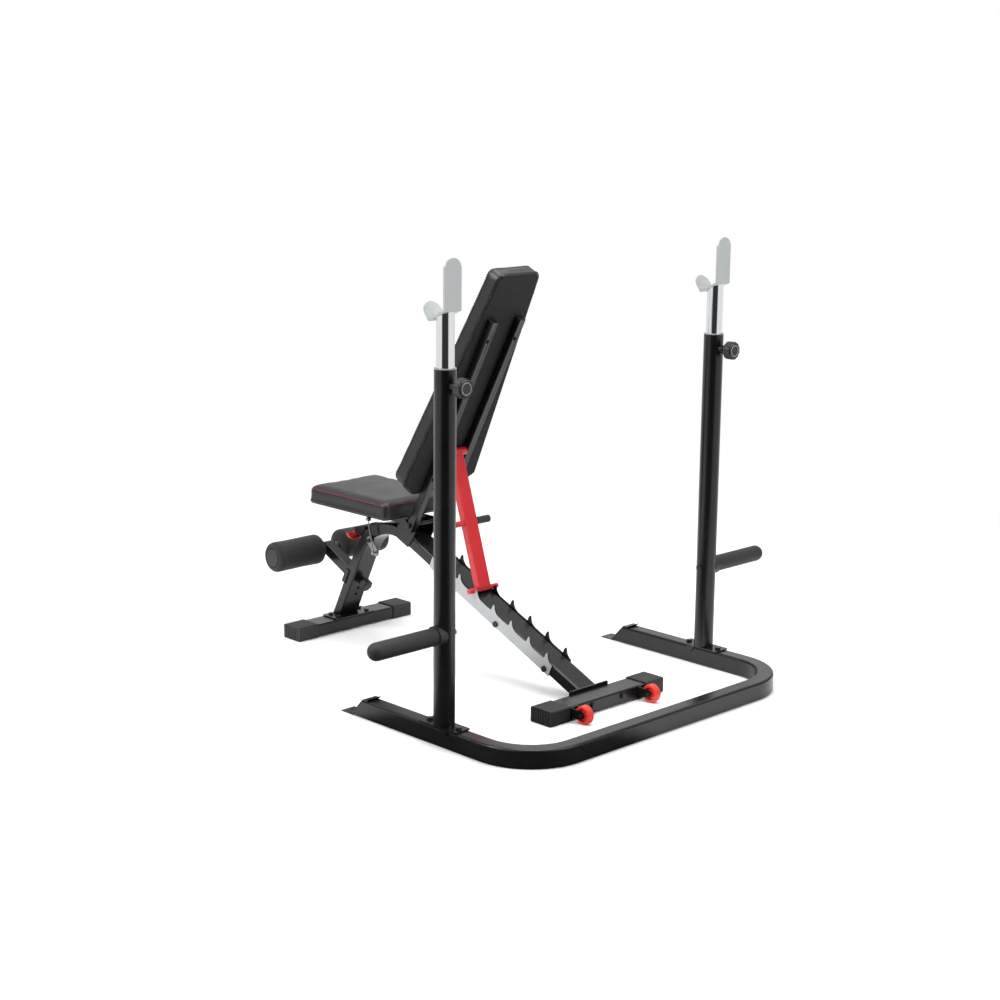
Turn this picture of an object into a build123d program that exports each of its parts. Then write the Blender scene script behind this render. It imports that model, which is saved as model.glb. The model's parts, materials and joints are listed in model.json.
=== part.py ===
"""Adjustable bench standing in a free-standing squat rack, as an assembly of separate pieces.

Millimetres, +Z up. X runs across the object, the leg rollers point to -Y and the closed side of
the rack's base lies at +Y. The origin is on the floor under the middle of the bounding box.
"""

from build123d import *
from math import atan2, cos, hypot, radians, sin, sqrt
import os

os.makedirs("parts", exist_ok=True)

# ---------------------------------------------------------------- driving dimensions: rack
UPRIGHT_X = 554.0          # half the distance between the upright axes
UPRIGHT_Y = 440.5          # the uprights stand this far behind the origin
BASE_W, BASE_H = 50.0, 55.0
BASE_WALL = 3.0
BASE_CORNER_R = 165.0      # bend radius on the tube's centre line
BASE_REAR_Y = 770.5        # centre line of the closed side
BASE_FRONT_Y = 74.0        # where the mitred ends meet the floor
BASE_MITRE_Y = 126.0       # where the mitred ends meet the tube's top
SADDLE_T = 4.0
SADDLE_L, SADDLE_W = 150.0, 58.0
UPRIGHT_R = 30.0
UPRIGHT_BORE_R = 27.0
UPRIGHT_TOP = 1043.0
BUSH_RIM = 3.0
POST_R = 25.0
POST_BORE_R = 22.5
POST_BOTTOM = 430.0
POST_HOLE_PITCH = 50.0
PIN_Z = 999.0              # height of the pull pins
PEG_Z = 316.0
PEG_R = 25.0
PEG_END = 822.0            # the domed peg ends, measured from the middle
HOOK_W, HOOK_T = 60.0, 6.0
HOOK_BACK_TOP = 1336.0
HOOK_LOW = (UPRIGHT_Y - 34.0, 1168.0)    # (Y, Z) of the floor's underside at the lip
HOOK_HIGH = (UPRIGHT_Y + 27.0, 1196.0)   # and at the back plate

# ---------------------------------------------------------------- driving dimensions: bench
TUBE_W, TUBE_H, TUBE_WALL = 76.0, 38.0, 2.5
POST_LEAN = 26.0           # the front post leans back from the vertical
BEAM_SLOPE = 24.0          # the beam falls towards the rear foot
VERTEX = (-460.5, 438.0)   # (Y, Z) where post and beam centre lines would meet
BEND_R = 180.0
POST_FOOT_Z = 47.0
BEAM_END_Y = 462.5
FOOT_HALF = 241.0
FRONT_FOOT_Y = -633.5
REAR_FOOT_Y = 505.5
FOOT_TUBE_W, FOOT_TUBE_H = 76.0, 40.0
FOOT_TUBE_Z = 23.0         # centre height of both foot tubes
CAP_W, CAP_H, CAP_L = 82.0, 46.0, 78.0
WHEEL_X, WHEEL_Y, WHEEL_R, WHEEL_T = 144.0, 585.5, 27.0, 22.0
TOOTH_PITCH = 82.9
TOOTH_FIRST = 352.3        # first tooth tip, measured down the beam from the vertex
TOOTH_COUNT = 7
STRUT_TOOTH = 2            # the tooth that holds the strut, counted from 0
TOOTH_SHAPE = ((-18, 14), (-18, 20), (-5, 28), (-3.5, 34), (-1.5, 42), (1.5, 43), (3, 42), (6, 36),
               (10, 30), (16, 25), (24, 21.5), (33, 20), (33, 14))  # past the tip, over the centre line
NOTCH_FLOOR = 20.0
PIN_R = 8.0
NOTCH_R = 8.7
LADDER_T = 4.0
LADDER_END = 883.0
LADDER_BOLTS = ((403.0, -8.0), (632.0, -8.0), (861.0, -8.0))
BACK_PIVOT = (-254.5, 421.0)
BACK_ANGLE = 62.2
RAIL_X, RAIL_W, RAIL_D = 56.0, 25.0, 25.0
RAIL_FRONT = -8.0          # front face of the rails behind the pivot line
RAIL_TOP = 767.0
PAD_T = 60.0
PAD_BOTTOM, PAD_TOP = 113.0, 920.0
PAD_WIDE, PAD_NARROW = 156.0, 88.0
BOARD_T = 12.0
PAD_BOLTS = (190.0, 700.0)
STRUT_PIVOT = (282.0, 6.0)  # along and behind the rails' pivot line
STRUT_W, STRUT_D = 50.0, 25.0
SEAT_PIVOT = (-294.5, 421.0)
SEAT_TOP, SEAT_BOTTOM = 498.0, 441.0
SEAT_FRONT, SEAT_REAR, SEAT_HALF = -666.0, -277.0, 148.0
ARM_S = 145.0              # the leg arm's height up the post
ARM_REACH = 169.5          # roller axle in front of the post's centre line
ROLLER_R, ROLLER_L, ROLLER_X = 50.0, 190.0, 44.0
LINK_TOP = (-470.5, 331.0)
LINK_LOW = (-438.5, 297.0)
ROD_EAR = (-465.5, 405.0)
SPRING_X = 56.0
LEVER_PIVOT = (-542.5, 352.0)

# ---------------------------------------------------------------- derived directions and places
SIDES = (("left", 1), ("right", -1))
beam_dir = (cos(radians(BEAM_SLOPE)), -sin(radians(BEAM_SLOPE)))
beam_up = (sin(radians(BEAM_SLOPE)), cos(radians(BEAM_SLOPE)))
post_dir = (sin(radians(POST_LEAN)), cos(radians(POST_LEAN)))
post_back = (cos(radians(POST_LEAN)), -sin(radians(POST_LEAN)))
back_dir = (cos(radians(BACK_ANGLE)), sin(radians(BACK_ANGLE)))
back_rear = (sin(radians(BACK_ANGLE)), -cos(radians(BACK_ANGLE)))
post_foot_s = (VERTEX[1] - 50.0) / post_dir[1]
POST_FOOT = (VERTEX[0] - post_foot_s * post_dir[0], 50.0)


def along(origin, direction, normal, u, v):
    """The (Y, Z) point u along direction and v along normal from origin."""
    return (origin[0] + u * direction[0] + v * normal[0],
            origin[1] + u * direction[1] + v * normal[1])


def on_beam(u, v):
    return along(VERTEX, beam_dir, beam_up, u, v)


def on_post(s, v):
    return along(POST_FOOT, post_dir, post_back, s, v)


def on_back(a, b):
    return along(BACK_PIVOT, back_dir, back_rear, a, b)


def side_plane(x):
    """A plane across X whose sketch axes are +Y and +Z."""
    return Plane(origin=(x, 0, 0), x_dir=(0, 1, 0), z_dir=(1, 0, 0))


def tilted_plane(point, x, direction, up):
    """A plane whose normal is direction and whose sketch y axis is up, both given as (Y, Z)."""
    normal = Vector(0, direction[0], direction[1])
    lift = Vector(0, up[0], up[1])
    return Plane(origin=(x, point[0], point[1]), x_dir=lift.cross(normal), z_dir=normal)


def save(piece, node):
    piece.part.label = node
    export_step(piece.part, f"parts/{node}.step")


def rod(start, end, radius):
    """Adds a round bar between two points to the part being built."""
    axis = Vector(*end) - Vector(*start)
    with BuildSketch(Plane(origin=start, z_dir=axis)) as face:
        Circle(radius)
    extrude(face.sketch, amount=axis.length)


def bore(start, end, radius):
    """Drills between two points of the part being built."""
    axis = Vector(*end) - Vector(*start)
    with BuildSketch(Plane(origin=start, z_dir=axis)) as face:
        Circle(radius)
    extrude(face.sketch, amount=axis.length, mode=Mode.SUBTRACT)


def hex_bolt(start, end, radius, head, thick=6.0, both=False):
    """Adds a bolt whose hexagon head sits outside start, and a nut outside end if both."""
    axis = (Vector(*end) - Vector(*start)).normalized()
    rod(start, end, radius)
    ends = ((start, axis * -1), (end, axis)) if both else ((start, axis * -1),)
    for place, out in ends:
        with BuildSketch(Plane(origin=place, z_dir=out)) as face:
            RegularPolygon(head, 6)
        extrude(face.sketch, amount=thick)


def plate(x0, x1, points):
    """Adds a flat plate between x0 and x1 with the (Y, Z) outline."""
    with BuildSketch(side_plane(x0)) as face:
        with BuildLine():
            Polyline(*points, close=True)
        make_face()
    extrude(face.sketch, amount=x1 - x0)


# ---------------------------------------------------------------- rack
def base_frame():
    """U-shaped floor tube with mitred open ends."""
    with BuildPart() as frame:
        with BuildLine(Plane.XY.offset(BASE_H / 2)) as run:
            FilletPolyline((UPRIGHT_X, BASE_FRONT_Y), (UPRIGHT_X, BASE_REAR_Y),
                           (-UPRIGHT_X, BASE_REAR_Y), (-UPRIGHT_X, BASE_FRONT_Y), radius=BASE_CORNER_R)
        end = Plane(origin=(UPRIGHT_X, BASE_FRONT_Y, BASE_H / 2), x_dir=(1, 0, 0), z_dir=(0, 1, 0))
        with BuildSketch(end):
            RectangleRounded(BASE_W, BASE_H, 7)
            RectangleRounded(BASE_W - 2 * BASE_WALL, BASE_H - 2 * BASE_WALL, 4, mode=Mode.SUBTRACT)
        sweep(path=run.line)
        with BuildSketch(side_plane(-UPRIGHT_X - BASE_W)):
            with BuildLine():
                Polyline((BASE_FRONT_Y - 5, -1), (BASE_FRONT_Y + 4, -1), (BASE_MITRE_Y, BASE_H + 1),
                         (BASE_FRONT_Y - 5, BASE_H + 1), close=True)
            make_face()
        extrude(amount=2 * (UPRIGHT_X + BASE_W), mode=Mode.SUBTRACT)
        for _, side in SIDES:
            for y in (-58.0, 58.0):
                x = side * UPRIGHT_X
                bore((x, UPRIGHT_Y + y, BASE_H - 8), (x, UPRIGHT_Y + y, BASE_H + 2), 5.3)
    save(frame, "base_frame")


def end_covers():
    """Bent plates that close the base's front ends: top lip, slope and floor flange with a hole."""
    thick = 3.0
    rise = BASE_H / hypot(BASE_MITRE_Y - BASE_FRONT_Y - 4, BASE_H)
    run = sqrt(1 - rise * rise)
    low = (BASE_FRONT_Y + 3.4, 0.0)
    top = (BASE_MITRE_Y - 1.2, BASE_H + 0.3)
    with BuildPart() as covers:
        for _, side in SIDES:
            with BuildSketch(side_plane(side * UPRIGHT_X - BASE_W / 2)):
                with BuildLine():
                    Polyline(low, top, (BASE_MITRE_Y + 16, BASE_H + 0.3), (BASE_MITRE_Y + 20, BASE_H + 6),
                             (BASE_MITRE_Y + 16.5, BASE_H + 6), (BASE_MITRE_Y + 14, BASE_H + 0.3 + thick),
                             (top[0] - thick * rise, top[1] + thick * run),
                             (BASE_FRONT_Y - 2, thick), (BASE_FRONT_Y - 46, thick), (BASE_FRONT_Y - 46, 0),
                             close=True)
                make_face()
            extrude(amount=BASE_W)
            bore((side * UPRIGHT_X, BASE_FRONT_Y - 25, -1), (side * UPRIGHT_X, BASE_FRONT_Y - 25, 5), 4.25)
    save(covers, "base_end_covers")


def saddles():
    """Plates under the uprights, each with two pointed tabs over the tube's sides."""
    with BuildPart() as plates:
        for _, side in SIDES:
            with BuildSketch(Plane.XY.offset(BASE_H)):
                with Locations((side * UPRIGHT_X, UPRIGHT_Y)):
                    RectangleRounded(SADDLE_W, SADDLE_L, 5)
                with Locations((side * UPRIGHT_X, UPRIGHT_Y - 58), (side * UPRIGHT_X, UPRIGHT_Y + 58)):
                    Circle(5.3, mode=Mode.SUBTRACT)
            extrude(amount=SADDLE_T)
            for tab in (-1, 1):
                edge = side * UPRIGHT_X + tab * (BASE_W / 2 + 0.2)
                wide = edge + tab * (SADDLE_W / 2 - BASE_W / 2 - 0.2)
                middle = UPRIGHT_Y + 30 * side * tab
                plate(min(edge, wide), max(edge, wide),
                      [(middle - 16, BASE_H + 1), (middle + 16, BASE_H + 1), (middle + 9, BASE_H - 9),
                       (middle, BASE_H - 19), (middle - 9, BASE_H - 9)])
    save(plates, "upright_saddles")


def uprights():
    """Round column tubes with pull-pin holes at the back and peg bolt holes."""
    with BuildPart() as columns:
        for _, side in SIDES:
            x = side * UPRIGHT_X
            with BuildSketch(Plane.XY.offset(BASE_H + SADDLE_T)):
                with Locations((x, UPRIGHT_Y)):
                    Circle(UPRIGHT_R)
                    Circle(UPRIGHT_BORE_R, mode=Mode.SUBTRACT)
            extrude(amount=UPRIGHT_TOP - BASE_H - SADDLE_T)
            bore((x, UPRIGHT_Y + 20, PIN_Z), (x, UPRIGHT_Y + 35, PIN_Z), 6)
            bore((x - 40, UPRIGHT_Y, PEG_Z), (x + 40, UPRIGHT_Y, PEG_Z), 5.3)
    save(columns, "uprights")


def guide_bushes():
    """Plastic sleeves with rims, in which the chrome posts slide."""
    with BuildPart() as bushes:
        for _, side in SIDES:
            x = side * UPRIGHT_X
            for low, high, radius in ((UPRIGHT_TOP - 110, UPRIGHT_TOP, UPRIGHT_BORE_R),
                                      (UPRIGHT_TOP, UPRIGHT_TOP + BUSH_RIM, UPRIGHT_R)):
                with BuildSketch(Plane.XY.offset(low)):
                    with Locations((x, UPRIGHT_Y)):
                        Circle(radius)
                        Circle(POST_R + 0.08, mode=Mode.SUBTRACT)
                extrude(amount=high - low)
            bore((x, UPRIGHT_Y + 20, PIN_Z), (x, UPRIGHT_Y + 35, PIN_Z), 6)
    save(bushes, "guide_bushes")


def chrome_post(name, side):
    """Telescoping tube: oblique top under the hook, a row of pin holes down its back."""
    x = side * UPRIGHT_X
    with BuildPart() as post:
        with BuildSketch(Plane.XY.offset(POST_BOTTOM)):
            with Locations((x, UPRIGHT_Y)):
                Circle(POST_R)
                Circle(POST_BORE_R, mode=Mode.SUBTRACT)
        extrude(amount=1230 - POST_BOTTOM)
        with BuildSketch(side_plane(x - 40)):
            with BuildLine():
                floor_low, floor_high = hook_floor()
                Polyline(floor_low, floor_high, (UPRIGHT_Y + 60, 1240), (UPRIGHT_Y - 60, 1240), close=True)
            make_face()
        extrude(amount=80, mode=Mode.SUBTRACT)
        for step in range(7):
            z = PIN_Z - step * POST_HOLE_PITCH
            bore((x, UPRIGHT_Y + 10, z), (x, UPRIGHT_Y + 35, z), 5.5)
    save(post, f"{name}_chrome_post")


def hook_floor():
    """Two (Y, Z) points under the hook's sloping floor, beyond the post on both sides."""
    low, high = HOOK_LOW, HOOK_HIGH
    slope = (high[1] - low[1]) / (high[0] - low[0])
    return ((low[0] - 22, low[1] - 22 * slope), (high[0] + 33, high[1] + 33 * slope))


def bar_hook(name, side):
    """Bent strip cradle: tall rounded back plate, sloping floor, short rounded lip."""
    x = side * UPRIGHT_X
    floor_low, floor_high = hook_floor()
    slope = atan2(floor_high[1] - floor_low[1], floor_high[0] - floor_low[0])
    low, high = HOOK_LOW, HOOK_HIGH
    lip_angle = radians(35)
    lip_up = (-sin(lip_angle), cos(lip_angle))
    lip_in = (cos(lip_angle), sin(lip_angle))
    lip_l = 55.0
    up = (-sin(slope), cos(slope))
    with BuildPart() as hook:
        plate(x - HOOK_W / 2, x + HOOK_W / 2,
              [low, high, (high[0], high[1] + 7), (low[0] + up[0] * HOOK_T + 4, low[1] + up[1] * HOOK_T + 2),
               (low[0] + up[0] * HOOK_T, low[1] + up[1] * HOOK_T)])
        with BuildSketch(Plane(origin=(x, high[0] + 3, 0), x_dir=(1, 0, 0), z_dir=(0, -1, 0))):
            with BuildLine():
                bottom = high[1] + 1
                shoulder = HOOK_BACK_TOP - HOOK_W / 2
                Line((-HOOK_W / 2, shoulder), (-HOOK_W / 2, bottom))
                Line((-HOOK_W / 2, bottom), (HOOK_W / 2, bottom))
                Line((HOOK_W / 2, bottom), (HOOK_W / 2, shoulder))
                ThreePointArc((HOOK_W / 2, shoulder), (0, HOOK_BACK_TOP), (-HOOK_W / 2, shoulder))
            make_face()
        extrude(amount=HOOK_T)
        lip_face = Plane(origin=(x, *low), x_dir=(1, 0, 0), z_dir=(0, -lip_in[0], -lip_in[1]))
        with BuildSketch(lip_face):
            with BuildLine():
                shoulder = lip_l - 30
                Line((-HOOK_W / 2, shoulder), (-HOOK_W / 2, 0))
                Line((-HOOK_W / 2, 0), (HOOK_W / 2, 0))
                Line((HOOK_W / 2, 0), (HOOK_W / 2, shoulder))
                ThreePointArc((HOOK_W / 2, shoulder), (0, lip_l), (-HOOK_W / 2, shoulder))
            make_face()
        extrude(amount=-HOOK_T)
    save(hook, f"{name}_bar_hook")


def pin_collars():
    """Threaded collars that carry the pull pins on the backs of the uprights."""
    with BuildPart() as collars:
        for _, side in SIDES:
            x = side * UPRIGHT_X
            with BuildSketch(Plane(origin=(x, UPRIGHT_Y + 20, PIN_Z), z_dir=(0, 1, 0))):
                Circle(12)
            extrude(amount=22)
            with BuildSketch(Plane(origin=(x, UPRIGHT_Y + 42, PIN_Z), z_dir=(0, 1, 0))):
                RegularPolygon(12.5, 6)
            extrude(amount=6)
            with BuildSketch(Plane.XY.offset(PIN_Z - 20)):
                with Locations((x, UPRIGHT_Y)):
                    Circle(UPRIGHT_R)
            extrude(amount=40, mode=Mode.SUBTRACT)
            bore((x, UPRIGHT_Y + 20, PIN_Z), (x, UPRIGHT_Y + 50, PIN_Z), 5.06)
    save(collars, "pin_collars")


def pin_knob(name, side):
    """Round fluted pull knob on its steel plunger, which stops a hair clear of the post."""
    x = side * UPRIGHT_X
    start = UPRIGHT_Y + 50
    with BuildPart() as knob:
        with BuildSketch(Plane(origin=(x, start, PIN_Z), z_dir=(0, 1, 0))):
            Circle(17)
        extrude(amount=8, taper=-40)
        with BuildSketch(Plane(origin=(x, start + 8, PIN_Z), z_dir=(0, 1, 0))):
            Circle(27)
            with PolarLocations(28.5, 12):
                Circle(3.2, mode=Mode.SUBTRACT)
        extrude(amount=22)
        with BuildSketch(Plane(origin=(x, start + 30, PIN_Z), z_dir=(0, 1, 0))):
            Circle(24)
        extrude(amount=3, taper=35)
        rod((x, UPRIGHT_Y + POST_R + 0.3, PIN_Z), (x, start + 10, PIN_Z), 5)
    save(knob, f"{name}_pin_knob")


def peg_washers():
    """Rings between uprights and pegs, hollowed to the column."""
    with BuildPart() as washers:
        for _, side in SIDES:
            x = side * UPRIGHT_X
            with BuildSketch(Plane(origin=(x + side * 12, UPRIGHT_Y, PEG_Z), z_dir=(side, 0, 0))):
                Circle(29)
                Circle(5.3, mode=Mode.SUBTRACT)
            extrude(amount=26)
            with BuildSketch(Plane.XY.offset(PEG_Z - 40)):
                with Locations((x, UPRIGHT_Y)):
                    Circle(UPRIGHT_R)
            extrude(amount=80, mode=Mode.SUBTRACT)
    save(washers, "peg_washers")


def peg_cores():
    with BuildPart() as cores:
        for _, side in SIDES:
            start = side * (UPRIGHT_X + 38)
            rod((start, UPRIGHT_Y, PEG_Z), (side * (PEG_END - 24), UPRIGHT_Y, PEG_Z), 19)
            bore((start, UPRIGHT_Y, PEG_Z), (start + side * 40, UPRIGHT_Y, PEG_Z), 5)
    save(cores, "peg_cores")


def peg_sleeves():
    """Rubber sleeves with domed ends."""
    start = UPRIGHT_X + 38
    with BuildPart() as sleeves:
        for _, side in SIDES:
            with BuildSketch(Plane(origin=(0, UPRIGHT_Y, PEG_Z), x_dir=(side, 0, 0), z_dir=(0, -side, 0))):
                with BuildLine():
                    Polyline((PEG_END - 24, 0), (PEG_END - 24, 19.1), (start, 19.1), (start, PEG_R),
                             (PEG_END - PEG_R, PEG_R))
                    RadiusArc((PEG_END - PEG_R, PEG_R), (PEG_END, 0), PEG_R)
                    Line((PEG_END, 0), (PEG_END - 24, 0))
                make_face()
            revolve(axis=Axis((0, UPRIGHT_Y, PEG_Z), (1, 0, 0)))
    save(sleeves, "peg_sleeves")


def rack_bolts():
    """Saddle bolts, and the through bolts that hold the pegs from the uprights' inner sides."""
    with BuildPart() as bolts:
        for _, side in SIDES:
            x = side * UPRIGHT_X
            for y in (-58.0, 58.0):
                hex_bolt((x, UPRIGHT_Y + y, BASE_H + SADDLE_T), (x, UPRIGHT_Y + y, BASE_H - 12), 5, 9)
            inner = side * (UPRIGHT_X - 31.5)
            hex_bolt((inner, UPRIGHT_Y, PEG_Z), (side * (UPRIGHT_X + 78), UPRIGHT_Y, PEG_Z), 5, 9, thick=7)
    save(bolts, "rack_bolts")


# ---------------------------------------------------------------- bench frame
def main_frame():
    """One bent rectangular tube: leaning post, arch under the seat, and the falling beam."""
    start = along(POST_FOOT, post_dir, post_back, -30, 0)
    run_length = (BEAM_END_Y + 30 - VERTEX[0]) / beam_dir[0]
    end = on_beam(run_length, 0)
    with BuildPart() as frame:
        with BuildLine(side_plane(0)) as run:
            FilletPolyline(start, VERTEX, end, radius=BEND_R)
        with BuildSketch(tilted_plane(start, 0, post_dir, (-post_back[0], -post_back[1]))):
            RectangleRounded(TUBE_W, TUBE_H, 6)
            RectangleRounded(TUBE_W - 2 * TUBE_WALL, TUBE_H - 2 * TUBE_WALL, 3.5, mode=Mode.SUBTRACT)
        sweep(path=run.line)
        with BuildSketch(side_plane(-60)):
            with Locations((start[0], POST_FOOT_Z - 60)):
                Rectangle(260, 120)
            with Locations((BEAM_END_Y + 60, 30)):
                Rectangle(120, 200)
        extrude(amount=120, mode=Mode.SUBTRACT)
        for s in (86.0, 110.0, ARM_S):
            near, far = on_post(s, 10), on_post(s, 30)
            bore((0, *near), (0, *far), 5.5)
        for u, v in LADDER_BOLTS:
            spot = on_beam(u, v)
            bore((-50, *spot), (50, *spot), 4.6)
    save(frame, "main_frame")


def ladders():
    """Saw-tooth plates on the beam's sides; each pair of teeth holds the strut's cross pin."""
    low = -TUBE_H / 2 + 0.5
    start = TOOTH_FIRST - 45
    with BuildPart() as rack_plates:
        for _, side in SIDES:
            inner, outer = side * TUBE_W / 2, side * (TUBE_W / 2 + LADDER_T)
            with BuildSketch(side_plane(min(inner, outer))):
                with BuildLine():
                    Polyline(on_beam(start, low), on_beam(LADDER_END, low),
                             on_beam(LADDER_END, NOTCH_FLOOR - 3), on_beam(LADDER_END - 8, NOTCH_FLOOR),
                             on_beam(start, NOTCH_FLOOR), close=True)
                make_face()
                for index in range(TOOTH_COUNT):
                    tip = TOOTH_FIRST + index * TOOTH_PITCH
                    with BuildLine():
                        Polyline(*[on_beam(tip + u, v) for u, v in TOOTH_SHAPE], close=True)
                    make_face()
                pockets = [on_beam(pin_u(index), NOTCH_FLOOR + NOTCH_R) for index in range(TOOTH_COUNT)]
                with Locations(*pockets):
                    Circle(NOTCH_R, mode=Mode.SUBTRACT)
                with Locations(*[on_beam(u, v) for u, v in LADDER_BOLTS]):
                    Circle(4.6, mode=Mode.SUBTRACT)
            extrude(amount=LADDER_T)
    save(rack_plates, "ladder_plates")


def pin_u(index):
    """Where the strut pin's centre lies along the beam when it rests in a notch."""
    return TOOTH_FIRST + index * TOOTH_PITCH - 3 - NOTCH_R


def ladder_bolts():
    with BuildPart() as bolts:
        reach = TUBE_W / 2 + LADDER_T
        for u, v in LADDER_BOLTS:
            spot = on_beam(u, v)
            hex_bolt((reach, *spot), (-reach, *spot), 4.3, 10, thick=5, both=True)
    save(bolts, "ladder_bolts")


def foot(node, middle):
    with BuildPart() as tube:
        with BuildSketch(cap_plane(1, 6 - FOOT_HALF, middle, FOOT_TUBE_Z)):
            RectangleRounded(FOOT_TUBE_W, FOOT_TUBE_H, 5)
            RectangleRounded(FOOT_TUBE_W - 5, FOOT_TUBE_H - 5, 2.5, mode=Mode.SUBTRACT)
        extrude(amount=2 * FOOT_HALF - 12)
        if middle > 0:
            for x in (-64, 64):
                bore((x, middle - 60, FOOT_TUBE_Z + 3), (x, middle + 60, FOOT_TUBE_Z + 3), 5.3)
        else:
            for x in (-60, 60):
                for y in (-20, 20):
                    bore((x, middle + y, 30), (x, middle + y, 60), 4.3)
    save(tube, node)


def foot_caps():
    """Rubber end caps with upright ribs on their end faces."""
    inner = FOOT_HALF - CAP_L
    with BuildPart() as caps:
        for middle in (FRONT_FOOT_Y, REAR_FOOT_Y):
            for _, side in SIDES:
                with BuildSketch(cap_plane(side, inner, middle, CAP_H / 2)):
                    RectangleRounded(CAP_W, CAP_H, 5)
                extrude(amount=CAP_L)
                with BuildSketch(cap_plane(side, inner, middle, FOOT_TUBE_Z)):
                    RectangleRounded(FOOT_TUBE_W, FOOT_TUBE_H, 5)
                extrude(amount=CAP_L - 6, mode=Mode.SUBTRACT)
                with BuildSketch(cap_plane(side, FOOT_HALF, middle, CAP_H / 2)):
                    with GridLocations(9.5, 0, 7, 1):
                        Rectangle(2.5, CAP_H - 4)
                extrude(amount=-2.5, mode=Mode.SUBTRACT)
    save(caps, "foot_caps")


def cap_plane(side, x, y, z):
    return Plane(origin=(side * x, y, z), x_dir=(0, side, 0), z_dir=(side, 0, 0))


def foot_plates():
    """Plate welded under the post on the front foot, and the beam's end plate against the rear one."""
    top = FOOT_TUBE_Z + FOOT_TUBE_H / 2
    front = REAR_FOOT_Y - FOOT_TUBE_W / 2
    with BuildPart() as plates:
        with BuildSketch(Plane.XY.offset(top)):
            with Locations((0, FRONT_FOOT_Y)):
                RectangleRounded(164, 76, 6)
                with GridLocations(120, 40, 2, 2):
                    Circle(4.3, mode=Mode.SUBTRACT)
        extrude(amount=POST_FOOT_Z - top)
        with BuildSketch(Plane(origin=(0, front, 28.5), x_dir=(1, 0, 0), z_dir=(0, -1, 0))):
            RectangleRounded(162, 47, 3)
            with Locations((-64, -2.5), (64, -2.5)):
                Circle(5.3, mode=Mode.SUBTRACT)
        extrude(amount=front - BEAM_END_Y)
    save(plates, "foot_plates")


def foot_bolts():
    with BuildPart() as bolts:
        for x in (-60, 60):
            for y in (-20, 20):
                hex_bolt((x, FRONT_FOOT_Y + y, POST_FOOT_Z), (x, FRONT_FOOT_Y + y, 24), 4, 8)
        for x in (-64, 64):
            hex_bolt((x, REAR_FOOT_Y + FOOT_TUBE_W / 2, 26), (x, BEAM_END_Y, 26), 5, 9, both=True)
    save(bolts, "foot_bolts")


def wheel_brackets():
    """Fork brackets on the rear foot, one for each transport wheel."""
    face = REAR_FOOT_Y + FOOT_TUBE_W / 2
    gap = WHEEL_T / 2 + 1.5
    with BuildPart() as brackets:
        for _, side in SIDES:
            x = side * WHEEL_X
            plate(x - gap - 3, x + gap + 3, [(face, 8), (face + 3, 8), (face + 3, 42), (face, 42)])
            for cheek in (x - gap - 3, x + gap):
                with BuildSketch(side_plane(cheek)):
                    with BuildLine():
                        Polyline((face + 2, 9), (WHEEL_Y, 16), (WHEEL_Y, 38), (face + 2, 41), close=True)
                    make_face()
                    with Locations((WHEEL_Y, WHEEL_R)):
                        Circle(11)
                        Circle(4.1, mode=Mode.SUBTRACT)
                extrude(amount=3)
    save(brackets, "wheel_brackets")


def wheel_axles():
    with BuildPart() as axles:
        reach = WHEEL_T / 2 + 4.5
        for _, side in SIDES:
            x = side * WHEEL_X
            hex_bolt((x - reach, WHEEL_Y, WHEEL_R), (x + reach, WHEEL_Y, WHEEL_R), 4, 7, thick=4, both=True)
    save(axles, "wheel_axles")


def wheel(name, side):
    """Transport wheel: grooved tread and spoked web."""
    half = WHEEL_T / 2
    with BuildPart() as roller:
        with BuildSketch(Plane(origin=(side * WHEEL_X, WHEEL_Y, WHEEL_R), x_dir=(1, 0, 0), z_dir=(0, -1, 0))):
            with BuildLine():
                Polyline((-half, 4.08), (-half, 9), (-half + 6, 10), (-half + 6, 18), (-half, 19),
                         (-half, WHEEL_R - 2), (-half + 2, WHEEL_R), (half - 2, WHEEL_R), (half, WHEEL_R - 2),
                         (half, 19), (half - 6, 18), (half - 6, 10), (half, 9), (half, 4.08), close=True)
            make_face()
        revolve(axis=Axis((side * WHEEL_X, WHEEL_Y, WHEEL_R), (1, 0, 0)))
    save(roller, f"{name}_wheel")


def pivot_brackets():
    """Side plates on the beam that carry the pivots of the backrest and the seat."""
    with BuildPart() as brackets:
        for _, side in SIDES:
            inner, outer = side * (TUBE_W / 2), side * (TUBE_W / 2 + 4)
            with BuildSketch(side_plane(min(inner, outer))):
                with BuildLine():
                    Polyline(on_beam(138, -19), on_beam(196, -19), on_beam(205, 19),
                             (BACK_PIVOT[0] + 15, BACK_PIVOT[1] - 2), (BACK_PIVOT[0], BACK_PIVOT[1] + 14),
                             (SEAT_PIVOT[0], SEAT_PIVOT[1] + 14), (SEAT_PIVOT[0] - 14, SEAT_PIVOT[1]),
                             on_beam(126, 19), close=True)
                make_face()
                with Locations(BACK_PIVOT, SEAT_PIVOT):
                    Circle(14)
                    Circle(6, mode=Mode.SUBTRACT)
            extrude(amount=4)
    save(brackets, "pivot_brackets")


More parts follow.
